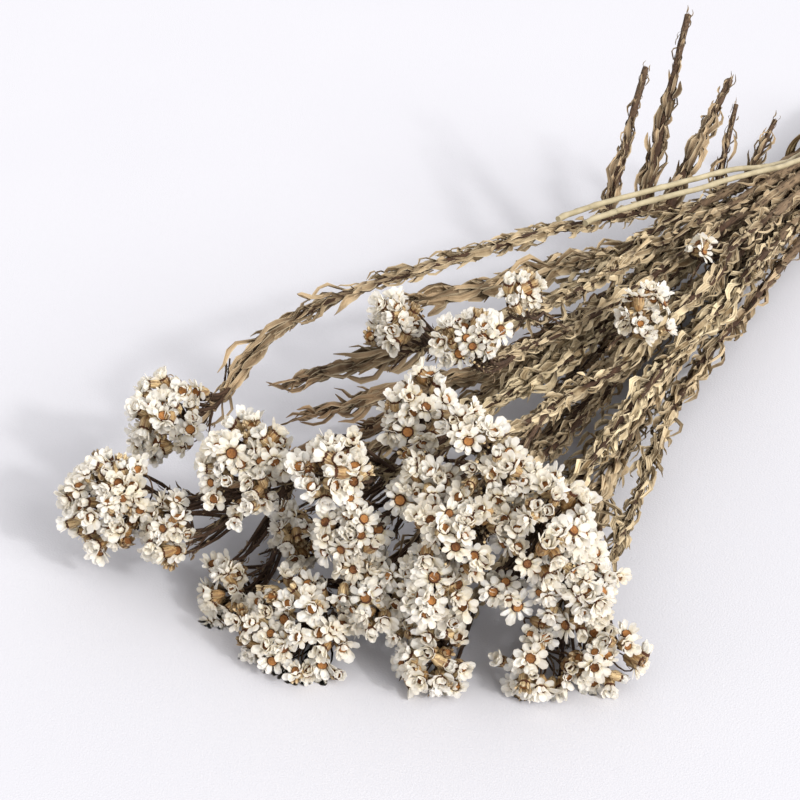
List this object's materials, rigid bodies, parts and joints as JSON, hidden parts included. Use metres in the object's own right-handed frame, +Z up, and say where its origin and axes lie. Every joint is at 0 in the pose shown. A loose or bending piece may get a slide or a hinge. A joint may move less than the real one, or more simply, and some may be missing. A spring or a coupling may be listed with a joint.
{
  "type": "dried ixodia",
  "caption": "Bunch of dried leafy stems with clusters of small white papery daisies, held by a raffia tie near the cut ends and lying on its side.",
  "frame": {"origin": "on the surface that the bunch lies on, right under the middle of the tie", "axes": "+Y along the bunch towards the cut ends, so the flowers are at -Y; +Z up from the surface; +X to the right as seen from above with the flowers towards the viewer"},
  "size_m": [0.1844, 0.4479, 0.0958],
  "materials": {
    "stems": "dry leafy stems, khaki to brown, matt",
    "daisies": "papery white bracts with brown discs, matt",
    "straws": "bare pale straw, slight sheen",
    "raffia": "dry plant fibre, slight sheen"
  },
  "bodies": {
    "root": {"head_a": "daisies", "head_b": "daisies", "head_b_low": "daisies", "head_b_mid": "daisies", "head_c": "daisies", "head_c_low": "daisies", "head_d": "daisies", "head_e": "daisies", "head_e_low": "daisies", "head_f": "daisies", "head_g": "daisies", "head_h": "daisies", "head_h_side": "daisies", "head_i": "daisies", "head_i_low": "daisies", "head_j": "daisies", "head_k": "daisies", "head_l": "daisies", "head_l_low": "daisies", "head_m": "daisies", "head_n": "daisies", "head_n_side": "daisies", "head_o": "daisies", "head_p": "daisies", "head_q": "daisies", "head_r": "daisies", "head_r_bud": "daisies", "stem_a": "stems", "stem_b": "stems", "stem_c": "stems", "stem_d": "stems", "stem_e": "stems", "stem_f": "stems", "stem_g": "stems", "stem_h": "stems", "stem_i": "stems", "stem_j": "stems", "stem_k": "stems", "stem_l": "stems", "stem_m": "stems", "stem_n": "stems", "stem_o": "stems", "stem_p": "stems", "stem_q": "stems", "stem_r": "stems", "stem_s": "stems", "straw_1": "straws", "straw_2": "straws", "tie": "raffia"}
  },
  "joints": []
}
